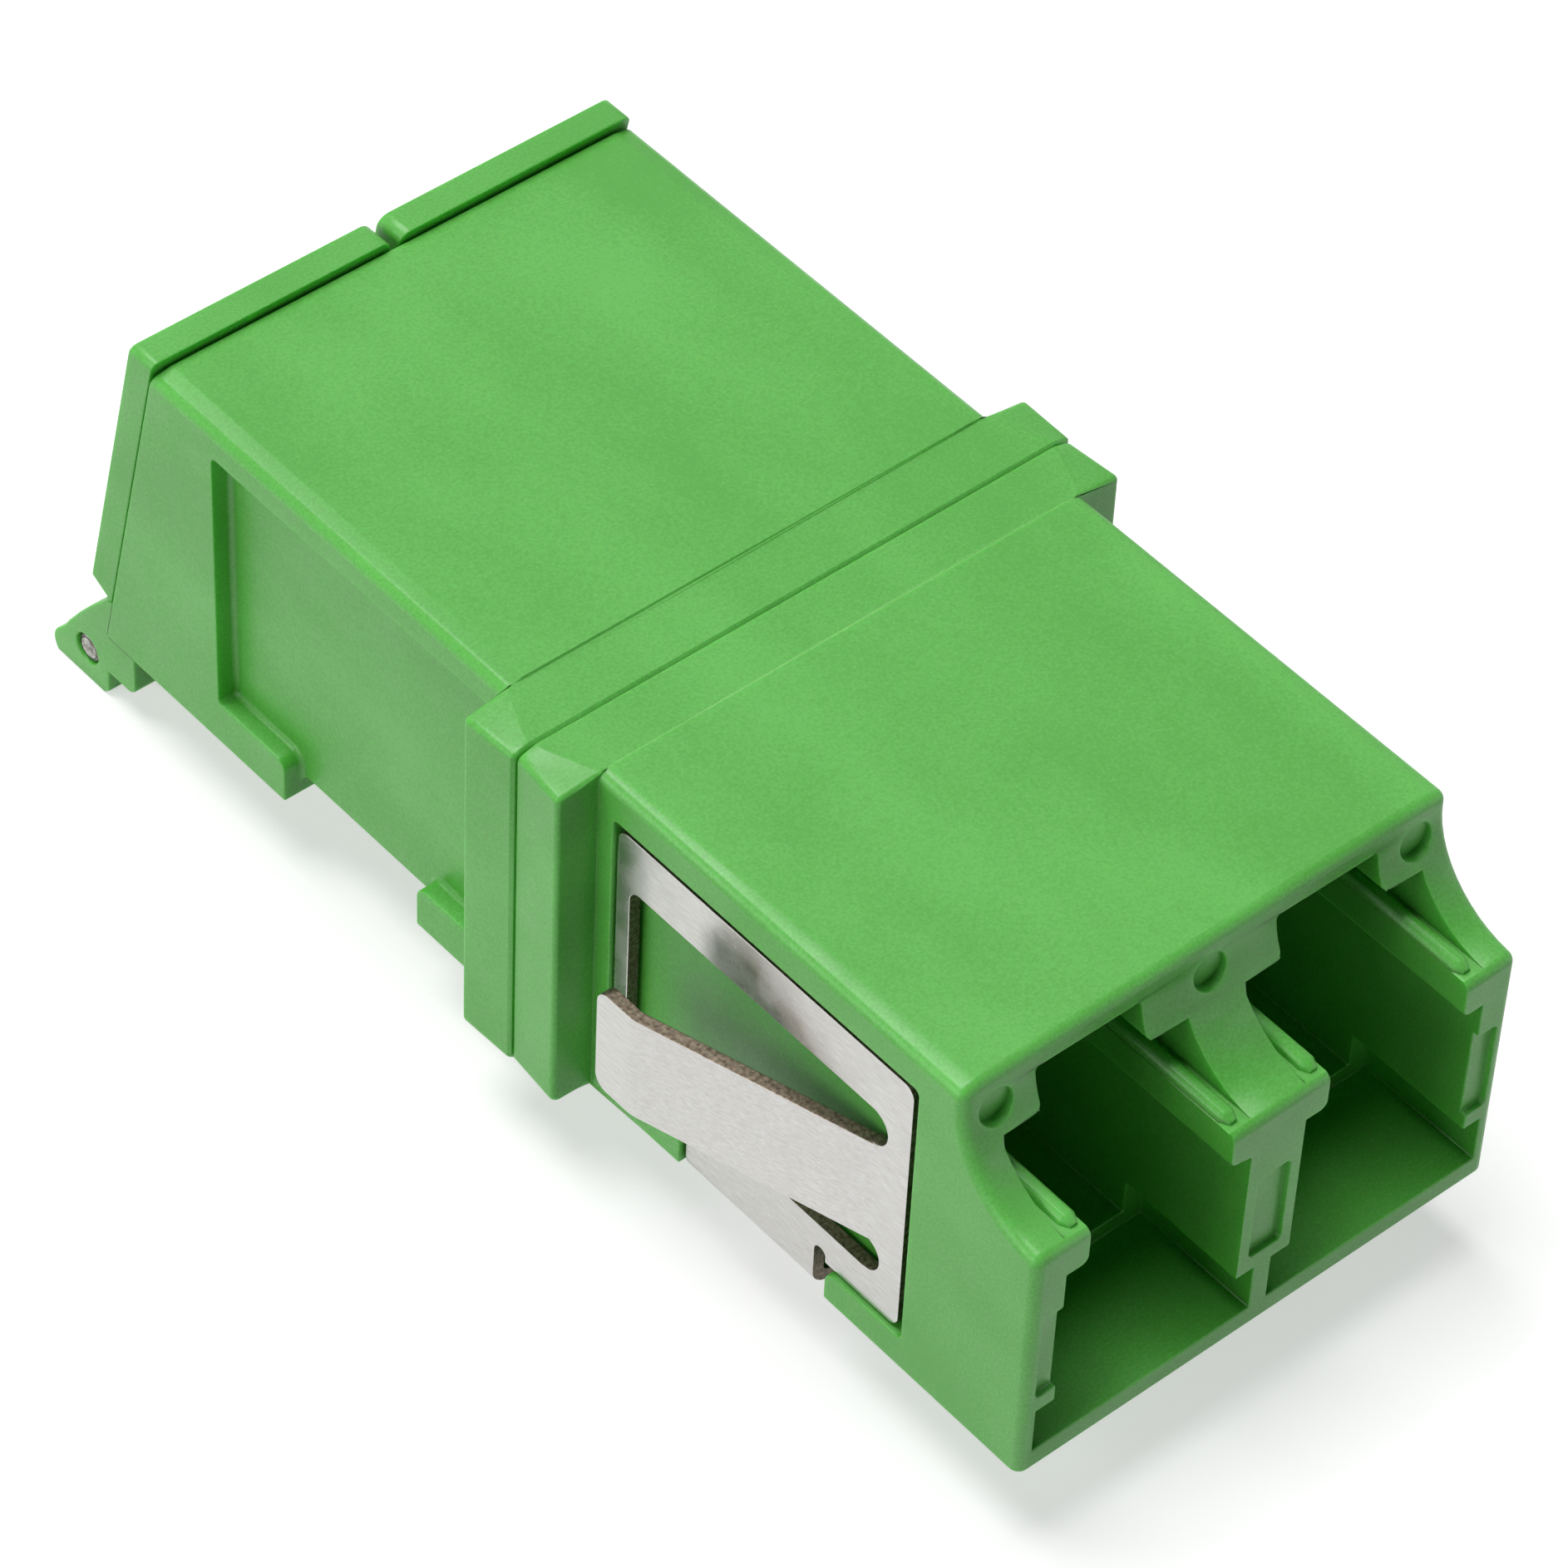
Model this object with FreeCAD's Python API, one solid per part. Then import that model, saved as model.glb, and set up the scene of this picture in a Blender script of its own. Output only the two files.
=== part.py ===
import FreeCAD, Part
import math
import os

Vec = FreeCAD.Vector

# A duplex fibre optic adapter: two moulded halves joined at a mid flange, two ports at each end,
# a folded steel clip that holds it in a panel, and two sprung shutters behind the rear ports.
# X is across the width, Y runs from the open front ports (negative) to the shuttered rear ports,
# and Z is up. Heights below are counted from the underside of the body. The finished part is
# lowered so that its origin lies midway between the two fibre axes, in the plane where the
# two halves and the ferrules of two facing plugs meet.

# How far cutting shapes run past the material, and the tolerance for picking edges by place
OVERRUN = 1.0
PICK = 1e-3

# Optical layout
PORT_PITCH = 6.25
AXIS_HEIGHT = 3.15
AXIS_X = PORT_PITCH / 2
PORT_HALF_WIDTH = 2.395
MIDDLE_WALL = AXIS_X - PORT_HALF_WIDTH

# Body, with a shallow facet along each top edge
BODY_HEIGHT = 9.14
FRONT_HALF_WIDTH = AXIS_X + PORT_HALF_WIDTH + 0.84
REAR_HALF_WIDTH = AXIS_X + PORT_HALF_WIDTH + 0.89
FRONT_REACH = 14.5
REAR_REACH = 15.0
REAR_SLANT = math.radians(12.5)
TOP_FACET_WIDTH = 0.52
FACET_DROP = 0.12
TOP_EDGE_RADIUS = 0.25

# Scallop that cuts back the top of the front face
SCALLOP_RADIUS = 2.35
SCALLOP_CENTRE_HEIGHT = BODY_HEIGHT - 0.39
FRONT_EDGE_RADIUS = 0.25

# Flange, half on each moulding, with its top facets wider at the outer faces
FLANGE_HALF_WIDTH = FRONT_HALF_WIDTH + 1.04
FLANGE_FRONT_DEPTH = 1.45
FLANGE_REAR_DEPTH = 1.49
FLANGE_FRONT_DRAFT = 0.13
FLANGE_REAR_DRAFT = 0.05
FLANGE_TOP = BODY_HEIGHT - 0.06
FLANGE_TOP_RADIUS = 0.15
FLANGE_BOTTOM_RADIUS = 0.25
PARTING_FACET_WIDTH = 0.45
OUTER_FACET_WIDTH = 1.12
PARTING_GROOVE = 0.07

# Side recesses and the groove under the body that the clip lies in
RECESS_DEPTH = 0.5
RECESS_RIB = 0.45
RECESS_END = 10.97
FRONT_RECESS_TOP = BODY_HEIGHT - 0.99
REAR_RECESS_TOP = BODY_HEIGHT - 0.84
FRONT_LUG_HEIGHT = 0.82
REAR_LUG_HEIGHT = 1.15
LUG_RADIUS = 0.3
RECESS_RADIUS = 0.15
FLANGE_LUG_END = 4.23
OUTER_LUG_START = 8.7

# Heights and half widths of the parts of each port
CHAMBER_FLOOR = 0.85
LEDGE_BOTTOM = 5.45
PORT_CEILING = BODY_HEIGHT - 0.54
LATCH_ROOM = PORT_CEILING - LEDGE_BOTTOM
LEDGE_TOP = LEDGE_BOTTOM + 0.3 * LATCH_ROOM
HOOK_BOTTOM = LEDGE_BOTTOM + 0.69 * LATCH_ROOM
LEDGE_GAP_HALF_WIDTH = 1.84
LATCH_SLOT_HALF_WIDTH = 1.35
HOOK_REACH = 10.1
PORT_RADIUS = 0.15
HOOK_RADIUS = 0.18
LEDGE_RADIUS = 0.2
RIDGE_RADIUS = 0.21
RIDGE_MARGIN = 0.01
RIDGE_TIP_RADIUS = 0.1
RIDGE_END = FRONT_REACH - 0.5
MOUTH_FLOOR = 0.5
MOUTH_HEIGHT = 1.72
MOUTH_OUTER_X = FRONT_HALF_WIDTH - 0.36
MOUTH_INNER_X = 0.32 * MIDDLE_WALL
MOUTH_DEPTH = 3.2

# Marks on the front face
POCKET_DEPTH = 0.15
POCKET_BOTTOM = 2.15
POCKET_TOP = 4.5
POCKET_HALF_WIDTH = 0.59 * MIDDLE_WALL
POCKET_OUTER_X = FRONT_HALF_WIDTH - 0.31
POCKET_RADIUS = 0.12
DIMPLE_RADIUS = 0.425
DIMPLE_HEIGHT = BODY_HEIGHT - 0.89
DIMPLE_SIDE_X = FRONT_HALF_WIDTH - 0.86
DIMPLE_DEPTH = 0.08

# Bulkhead, barrels and the ceramic sleeves inside them
BULKHEAD_HALF = 1.2
SLEEVE_OUTER_RADIUS = 0.8
SLEEVE_BORE_RADIUS = 0.625
SLEEVE_LENGTH = 11.4
SLEEVE_SLIT = 0.25
SLEEVE_CLEARANCE = 0.06
SLEEVE_END_CLEARANCE = 0.1
BARREL_WALL = 0.42
FUNNEL_LENGTH = 0.35
FUNNEL_THROAT_RADIUS = 0.68
FUNNEL_MOUTH_RADIUS = 0.98

# Panel clip, folded from one sheet
SHEET = 0.3
CLIP_HALF_WIDTH = FRONT_HALF_WIDTH - 0.11
CLIP_FRONT = RECESS_END - 0.22
CLIP_REAR = FLANGE_FRONT_DEPTH + RECESS_RIB + 0.05
CLIP_TOP = FRONT_RECESS_TOP - 0.25
CLIP_BOTTOM = FRONT_LUG_HEIGHT + 0.04
CLIP_CORNER_RADIUS = 0.3
WINDOW_FRONT = CLIP_FRONT - 0.65
WINDOW_REAR = CLIP_REAR + 0.4
WINDOW_TOP = CLIP_TOP - 1.45
WINDOW_BOTTOM = 1.8
SLOT_DEPTH = 0.4
SLOT_END_FLAT = 0.02
TONGUE_TOP = WINDOW_TOP - 0.95
TONGUE_BOTTOM = 2.7
TONGUE_END = FLANGE_FRONT_DEPTH + 1.85
TONGUE_BEND = TONGUE_END + 1.1
TONGUE_BEND_START = WINDOW_FRONT - 0.3
TONGUE_LAP = 0.1
TONGUE_ANGLE = math.radians(16.5)
TONGUE_CORNER_RADIUS = 0.35
TONGUE_BEND_RADIUS = 0.9
WEB_BOTTOM = -0.25
FOLD_RADIUS = 0.5
WEB_START = FLANGE_LUG_END + 0.07
WEB_END = OUTER_LUG_START - 0.45
NOTCH_WIDTH = 0.32
NOTCH_TOP = CLIP_BOTTOM + 0.3
NOTCH_RADIUS = 0.15

# Hinge: pin, cross-bar and ears
PIN_Y = REAR_REACH + 0.84
PIN_Z = -1.08
PIN_RADIUS = 0.38
PIN_CHAMFER = 0.08
PIN_SEAT_CLEARANCE = 0.01
PIN_RUNNING_CLEARANCE = 0.05
BAR_FRONT = REAR_REACH - 0.9
BAR_REAR = REAR_REACH + 0.1
BAR_DROP = 1.2
BAR_CORNER = 0.25
BAR_BEND_DROP = 0.45
BAR_LAP = 0.2
EAR_OUTER_X = REAR_HALF_WIDTH - 0.06
EAR_INNER_X = EAR_OUTER_X - 0.8
PIN_HALF_LENGTH = EAR_OUTER_X - 0.05
EAR_TOP = 1.1
EAR_SHOULDER_Y = REAR_REACH - 0.03
EAR_ROOT = 0.3
EAR_HEEL_Y = REAR_REACH + 0.08
EAR_HEEL_EASE = 0.17

# Outline of the ear and its toe, as (y, z) distances from the pin
EAR_DROP = 0.88
EAR_SLOPE_MIDDLE = (-0.09, 1.35)
EAR_SLOPE_END = (0.57, 0.49)
EAR_BOSS_MIDDLE = (0.69, 0.33)
EAR_BOSS_END = (0.78, 0.15)
TOE_START = (1.09, -0.2)
TOE_TIP = (1.25, -0.57)
TOE_END = (1.12, -EAR_DROP)
EAR_BOTTOM = PIN_Z - EAR_DROP

# Shutters
SHUTTER_GAP = 0.05
SHUTTER_THICKNESS = 0.75
SHUTTER_TOP = BODY_HEIGHT + 0.24
SHUTTER_OUTER_X = REAR_HALF_WIDTH - 0.03
SHUTTER_INNER_X = 0.1
SHUTTER_SIDE_BOTTOM = 1.16
SHUTTER_SIDE_STEP = 0.07
SHUTTER_SIDE_SLOPE_TOP = 1.5
SHUTTER_EAR_GAP = 0.08
SHUTTER_CENTRE_RADIUS = 0.3
SHUTTER_SIDE_RADIUS = 0.2
KNUCKLE_RADIUS = 0.62
SPRING_ROOM_START = 1.45
SPRING_ROOM_END = 3.9
SPRING_ROOM_RADIUS = 0.8
LEG_GROOVE_DEPTH = 0.24
LEG_GROOVE_HALF_WIDTH = 0.18
LEG_GROOVE_START = 1.4
LEG_GROOVE_END = 3.45

# Torsion springs round the hinge pin
WIRE_RADIUS = 0.1
WIRE_SIDES = 6
COIL_RADIUS = 0.57
COIL_PITCH = 0.24
COIL_TURNS = 5
STEPS_PER_TURN = 14
LEG_TIP = 3.2
LEG_CLEARANCE = 0.02
FIXED_LEG_Y = REAR_REACH - 0.65
COIL_INSET = (SPRING_ROOM_END - SPRING_ROOM_START - COIL_PITCH * COIL_TURNS) / 2


def place_on(axis, along, a, b):
    """A point given by its distance along one axis and its two other coordinates."""
    if axis == "X":
        return Vec(along, a, b)
    if axis == "Y":
        return Vec(a, along, b)
    return Vec(a, b, along)


def outline(corners, axis, along):
    """Closed wire through corners (a, b) or (a, b, radius), square to the given axis."""
    edges = []
    starts = []
    ends = []
    count = len(corners)
    for i, corner in enumerate(corners):
        here = Vec(corner[0], corner[1], 0)
        radius = corner[2] if len(corner) > 2 else 0
        if radius == 0:
            starts.append((here, None))
            ends.append(here)
            continue
        before = corners[i - 1]
        after = corners[(i + 1) % count]
        back = (Vec(before[0], before[1], 0) - here).normalize()
        ahead = (Vec(after[0], after[1], 0) - here).normalize()
        half = back.getAngle(ahead) / 2
        setback = radius / math.tan(half)
        middle = (back + ahead).normalize() * (radius / math.sin(half) - radius)
        starts.append((here + back * setback, here + middle))
        ends.append(here + ahead * setback)
    for i in range(count):
        first, middle = starts[i]
        last = ends[i]
        following = starts[(i + 1) % count][0]
        if middle is not None:
            arc_points = [place_on(axis, along, p.x, p.y) for p in (first, middle, last)]
            edges.append(Part.Arc(*arc_points).toShape())
        line_start = place_on(axis, along, last.x, last.y)
        line_end = place_on(axis, along, following.x, following.y)
        if line_start.distanceToPoint(line_end) > 1e-7:
            edges.append(Part.makeLine(line_start, line_end))
    return Part.Wire(edges)


def prism(corners, axis, start, end):
    """Solid with the outline of the corners, running along an axis from start to end."""
    direction = {"X": Vec(1, 0, 0), "Y": Vec(0, 1, 0), "Z": Vec(0, 0, 1)}[axis]
    face = Part.Face(outline(corners, axis, start))
    return face.extrude(direction * (end - start))


def block(x_range, y_range, z_range):
    """Box between the two values of each range."""
    sizes = [max(r) - min(r) for r in (x_range, y_range, z_range)]
    corner = Vec(min(x_range), min(y_range), min(z_range))
    return Part.makeBox(sizes[0], sizes[1], sizes[2], corner)


def rod(radius, axis, start, end, a, b):
    """Cylinder along an axis from start to end, with its centre line at (a, b)."""
    direction = {"X": Vec(1, 0, 0), "Y": Vec(0, 1, 0), "Z": Vec(0, 0, 1)}[axis]
    low = min(start, end)
    return Part.makeCylinder(radius, abs(end - start), place_on(axis, low, a, b), direction)


def mirrored_x(shape):
    """The same shape on the other side of the middle plane."""
    return shape.mirror(Vec(0, 0, 0), Vec(1, 0, 0))


def pair(shape):
    """A shape and its mirror image across the width."""
    return [shape, mirrored_x(shape)]


def rounded_edges(shape, radius, chosen):
    """Fillet the edges whose middle and ends satisfy the test."""
    edges = [e for e in shape.Edges if chosen(e)]
    return shape.makeFillet(radius, edges)


def topped(half_width, bottom, top, facet, radius, bottom_radius=0):
    """Corners of an upright section with a shallow facet at each side of its top."""
    right = [
        (half_width, bottom, bottom_radius),
        (half_width, top - FACET_DROP, radius),
        (half_width - facet, top),
    ]
    return right + [(-corner[0],) + corner[1:] for corner in reversed(right)]


def flange_outline(half_width, inset, facet, y):
    """Outline of the flange at one depth."""
    corners = topped(
        half_width - inset, inset, FLANGE_TOP - inset, facet, FLANGE_TOP_RADIUS,
        FLANGE_BOTTOM_RADIUS)
    return outline(corners, "Y", y)


def flange(outer_y, draft):
    """Half of the flange: widest at its outer face, and eased at the parting plane."""
    side = 1 if outer_y > 0 else -1
    at_parting = FLANGE_HALF_WIDTH - draft
    narrow = PARTING_FACET_WIDTH
    groove = Part.makeLoft([
        flange_outline(at_parting, PARTING_GROOVE, narrow, 0),
        flange_outline(at_parting, 0, narrow, side * PARTING_GROOVE),
    ], True, True)
    rim = Part.makeLoft([
        flange_outline(at_parting, 0, narrow, side * PARTING_GROOVE),
        flange_outline(FLANGE_HALF_WIDTH, 0, OUTER_FACET_WIDTH, outer_y),
    ], True, True)
    return groove.fuse(rim)


def port_outline(hooked, eased):
    """Outline of the +X port: plug chamber, gap between the ledges, and latch room above.

    The edges are rounded where they show, at the open front mouth.
    """
    wide = PORT_HALF_WIDTH
    gap = LEDGE_GAP_HALF_WIDTH
    slot = LATCH_SLOT_HALF_WIDTH
    ease = PORT_RADIUS if eased else 0
    ledge_ease = LEDGE_RADIUS if eased else 0
    hook_ease = HOOK_RADIUS if eased else 0
    lower = [
        (wide, CHAMBER_FLOOR),
        (wide, LEDGE_BOTTOM),
        (gap, LEDGE_BOTTOM, ledge_ease),
        (gap, LEDGE_TOP),
        (wide, LEDGE_TOP),
    ]
    hooks = [
        (wide, HOOK_BOTTOM),
        (slot, HOOK_BOTTOM, hook_ease),
        (slot, PORT_CEILING, ease),
    ]
    plain = [(wide, PORT_CEILING)]
    right = lower + (hooks if hooked else plain)
    left = [(-corner[0],) + corner[1:] for corner in reversed(right)]
    return [(AXIS_X + corner[0],) + corner[1:] for corner in right + left]


def cavity(mouth_y):
    """One port's hollow on the +X side: the latch hooks stop short of the bulkhead."""
    side = 1 if mouth_y > 0 else -1
    inner = side * BULKHEAD_HALF
    hook = side * HOOK_REACH
    return prism(port_outline(False, False), "Y", inner, hook).fuse(
        prism(port_outline(True, side < 0), "Y", hook, mouth_y))


def barrel(side):
    """Tube on the +X side that holds half of a sleeve, and its bore.

    A funnel at the tip keeps the sleeve in and leads the ferrule into it.
    """
    bore_radius = SLEEVE_OUTER_RADIUS + SLEEVE_CLEARANCE
    bore_end = SLEEVE_LENGTH / 2 + SLEEVE_END_CLEARANCE
    tip = bore_end + FUNNEL_LENGTH
    tube = rod(bore_radius + BARREL_WALL, "Y", 0, side * tip, AXIS_X, AXIS_HEIGHT)
    bore = rod(bore_radius, "Y", 0, side * bore_end, AXIS_X, AXIS_HEIGHT)
    funnel = Part.makeCone(
        FUNNEL_THROAT_RADIUS, FUNNEL_MOUTH_RADIUS, FUNNEL_LENGTH,
        Vec(AXIS_X, side * bore_end, AXIS_HEIGHT), Vec(0, side, 0))
    return tube, bore.fuse(funnel)


def ridge(start, end):
    """Pair of half-round guide ridges on the ledges of the +X port, tapered at their front ends."""
    parts = []
    reach = LEDGE_GAP_HALF_WIDTH + RIDGE_MARGIN + RIDGE_RADIUS
    for x in (AXIS_X - reach, AXIS_X + reach):
        parts.append(rod(RIDGE_RADIUS, "Y", start, end, x, LEDGE_TOP))
        parts.append(Part.makeCone(
            RIDGE_RADIUS, RIDGE_TIP_RADIUS, RIDGE_RADIUS, Vec(x, end, LEDGE_TOP), Vec(0, -1, 0)))
    return parts


def side_recess(half_width, side, lug_height, top):
    """Shallow recess in the +X side wall, open downward between its two lugs."""
    near = side * (FLANGE_FRONT_DEPTH + RECESS_RIB)
    far = side * RECESS_END
    lug_a = side * FLANGE_LUG_END
    lug_b = side * OUTER_LUG_START
    below = -OVERRUN
    return prism([
        (near, lug_height, RECESS_RADIUS),
        (near, top, RECESS_RADIUS),
        (far, top, RECESS_RADIUS),
        (far, lug_height, RECESS_RADIUS),
        (lug_b, lug_height, LUG_RADIUS),
        (lug_b, below),
        (lug_a, below),
        (lug_a, lug_height, LUG_RADIUS),
    ], "X", half_width - RECESS_DEPTH, half_width + OVERRUN)


def under_groove(half_width, side):
    """Groove across the underside for the clip's web."""
    reach = half_width + OVERRUN
    y_range = (side * FLANGE_LUG_END, side * OUTER_LUG_START)
    return block((-reach, reach), y_range, (-OVERRUN, RECESS_DEPTH))


def moulding(outer, half_width, mouth_y, lug_height, recess_top):
    """Cut the ports, side recesses and groove into an outer shape, and add its barrels."""
    side = 1 if mouth_y > 0 else -1
    tube, bore = barrel(side)
    cuts = pair(cavity(mouth_y)) + pair(side_recess(half_width, side, lug_height, recess_top))
    cuts.append(under_groove(half_width, side))
    return outer.cut(cuts).fuse(pair(tube)).cut(pair(bore))


def body_section(half_width, start, end):
    """Plain run of the body with its faceted top edges."""
    corners = topped(half_width, 0, BODY_HEIGHT, TOP_FACET_WIDTH, TOP_EDGE_RADIUS)
    return prism(corners, "Y", start, end)


def front_outer():
    """Front moulding before its ports are cut, with the whole rim of its front face eased."""
    body = body_section(FRONT_HALF_WIDTH, -FRONT_REACH, -FLANGE_FRONT_DEPTH)
    top_front_y = SCALLOP_RADIUS - FRONT_REACH
    reach = FRONT_HALF_WIDTH + OVERRUN
    scallop = rod(SCALLOP_RADIUS, "X", -reach, reach, -FRONT_REACH, SCALLOP_CENTRE_HEIGHT)
    above = block(
        (-reach, reach), (-FRONT_REACH - OVERRUN, top_front_y),
        (SCALLOP_CENTRE_HEIGHT, BODY_HEIGHT + OVERRUN))
    body = body.cut([scallop, above])
    lip_height = SCALLOP_CENTRE_HEIGHT - SCALLOP_RADIUS

    def is_lip(edge):
        middle = edge.CenterOfMass
        return abs(middle.y + FRONT_REACH) < PICK and abs(middle.z - lip_height) < PICK

    def is_rim(edge):
        box = edge.BoundBox
        on_side = box.XMax - box.XMin < PICK and abs(abs(box.XMin) - FRONT_HALF_WIDTH) < PICK
        on_top = box.YMin > top_front_y - PICK and box.ZMin > SCALLOP_CENTRE_HEIGHT + PICK
        return (on_side or on_top) and box.YMax < top_front_y + PICK

    body = rounded_edges(body, FRONT_EDGE_RADIUS, is_lip)
    return rounded_edges(body, FRONT_EDGE_RADIUS, is_rim)


def front_marks():
    """Shallow pockets and round ejector marks in the front face."""
    outer = -FRONT_REACH - OVERRUN
    floor = -FRONT_REACH + POCKET_DEPTH
    middle = prism([
        (-POCKET_HALF_WIDTH, POCKET_BOTTOM, POCKET_RADIUS),
        (POCKET_HALF_WIDTH, POCKET_BOTTOM, POCKET_RADIUS),
        (POCKET_HALF_WIDTH, POCKET_TOP, POCKET_RADIUS),
        (-POCKET_HALF_WIDTH, POCKET_TOP, POCKET_RADIUS),
    ], "Y", outer, floor)
    inner_x = AXIS_X + PORT_HALF_WIDTH - PORT_RADIUS
    side_pocket = prism([
        (inner_x, POCKET_BOTTOM),
        (POCKET_OUTER_X, POCKET_BOTTOM, POCKET_RADIUS),
        (POCKET_OUTER_X, POCKET_TOP, POCKET_RADIUS),
        (inner_x, POCKET_TOP),
    ], "Y", outer, floor)
    dimple_floor = SCALLOP_RADIUS - FRONT_REACH + DIMPLE_DEPTH
    dimples = [
        rod(DIMPLE_RADIUS, "Y", outer, dimple_floor, x, DIMPLE_HEIGHT)
        for x in (-DIMPLE_SIDE_X, 0, DIMPLE_SIDE_X)
    ]
    return [middle] + pair(side_pocket) + dimples


def front_housing():
    """Front moulding: flange half, ports with latch slots and ledges, recesses for the clip."""
    mouth_y = -FRONT_REACH - OVERRUN
    outer = front_outer().fuse(flange(-FLANGE_FRONT_DEPTH, FLANGE_FRONT_DRAFT))
    shape = moulding(outer, FRONT_HALF_WIDTH, mouth_y, FRONT_LUG_HEIGHT, FRONT_RECESS_TOP)
    mouth = block(
        (MOUTH_INNER_X, MOUTH_OUTER_X), (mouth_y, MOUTH_DEPTH - FRONT_REACH),
        (MOUTH_FLOOR, MOUTH_HEIGHT))
    shape = shape.cut(pair(mouth) + front_marks())
    ridges = []
    for part in ridge(-BULKHEAD_HALF, -RIDGE_END):
        ridges += pair(part)
    return shape.fuse(ridges).removeSplitter()


def rear_y(height):
    """Depth of the slanted rear face at a height."""
    return REAR_REACH - height * math.tan(REAR_SLANT)


def rear_outer():
    """Rear moulding before its ports are cut: its rear face leans forward."""
    near = FLANGE_REAR_DEPTH
    low = -OVERRUN
    high = BODY_HEIGHT + OVERRUN
    reach = REAR_HALF_WIDTH + OVERRUN
    section = body_section(REAR_HALF_WIDTH, near, REAR_REACH + OVERRUN)
    profile = prism([
        (near, low),
        (rear_y(low), low),
        (rear_y(high), high),
        (near, high),
    ], "X", -reach, reach)
    return section.common(profile)


def cross_bar():
    """Bar under the rear edge of the body that carries the hinge ears."""
    return prism([
        (BAR_FRONT, BAR_LAP),
        (BAR_FRONT, -BAR_DROP, BAR_CORNER),
        (BAR_REAR, -BAR_DROP),
        (BAR_REAR, -BAR_BEND_DROP),
        (rear_y(0), 0),
        (rear_y(BAR_LAP), BAR_LAP),
    ], "X", -EAR_OUTER_X, EAR_OUTER_X)


def ear():
    """Hinge ear on the +X side, drawn round the pin and ending in a small toe."""
    def at(y, z):
        return Vec(EAR_INNER_X, y, z)

    def by_pin(offset):
        return at(PIN_Y + offset[0], PIN_Z + offset[1])

    shoulder = at(EAR_SHOULDER_Y, EAR_TOP)
    slope_end = by_pin(EAR_SLOPE_END)
    boss_end = by_pin(EAR_BOSS_END)
    toe_start = by_pin(TOE_START)
    toe_end = by_pin(TOE_END)
    straight = [
        toe_end,
        at(EAR_HEEL_Y + EAR_HEEL_EASE, EAR_BOTTOM),
        at(EAR_HEEL_Y, EAR_BOTTOM + EAR_HEEL_EASE),
        at(EAR_HEEL_Y, -BAR_DROP),
        at(rear_y(0) - EAR_ROOT, -BAR_DROP / 2),
        at(rear_y(EAR_TOP) - EAR_ROOT, EAR_TOP),
        shoulder,
    ]
    edges = [
        Part.Arc(shoulder, by_pin(EAR_SLOPE_MIDDLE), slope_end).toShape(),
        Part.Arc(slope_end, by_pin(EAR_BOSS_MIDDLE), boss_end).toShape(),
        Part.makeLine(boss_end, toe_start),
        Part.Arc(toe_start, by_pin(TOE_TIP), toe_end).toShape(),
    ]
    edges += [Part.makeLine(a, b) for a, b in zip(straight, straight[1:])]
    face = Part.Face(Part.Wire(edges))
    return face.extrude(Vec(EAR_OUTER_X - EAR_INNER_X, 0, 0))


def rear_housing():
    """Rear moulding: flange half, ports behind a slanted face, cross-bar and hinge ears."""
    outer = rear_outer().fuse(
        [flange(FLANGE_REAR_DEPTH, FLANGE_REAR_DRAFT), cross_bar()] + pair(ear()))
    mouth_y = REAR_REACH + OVERRUN
    shape = moulding(outer, REAR_HALF_WIDTH, mouth_y, REAR_LUG_HEIGHT, REAR_RECESS_TOP)
    reach = REAR_HALF_WIDTH + OVERRUN
    pin_seat = rod(PIN_RADIUS + PIN_SEAT_CLEARANCE, "X", -reach, reach, PIN_Y, PIN_Z)
    return shape.cut(pin_seat).removeSplitter()


def alignment_sleeve():
    """Split ceramic sleeve on the +X fibre axis, with its slit on top."""
    half = SLEEVE_LENGTH / 2
    tube = rod(SLEEVE_OUTER_RADIUS, "Y", -half, half, AXIS_X, AXIS_HEIGHT)
    reach = half + OVERRUN
    bore = rod(SLEEVE_BORE_RADIUS, "Y", -reach, reach, AXIS_X, AXIS_HEIGHT)
    slit = block(
        (AXIS_X - SLEEVE_SLIT / 2, AXIS_X + SLEEVE_SLIT / 2), (-reach, reach),
        (AXIS_HEIGHT, AXIS_HEIGHT + SLEEVE_OUTER_RADIUS + OVERRUN))
    return tube.cut([bore, slit])


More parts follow.
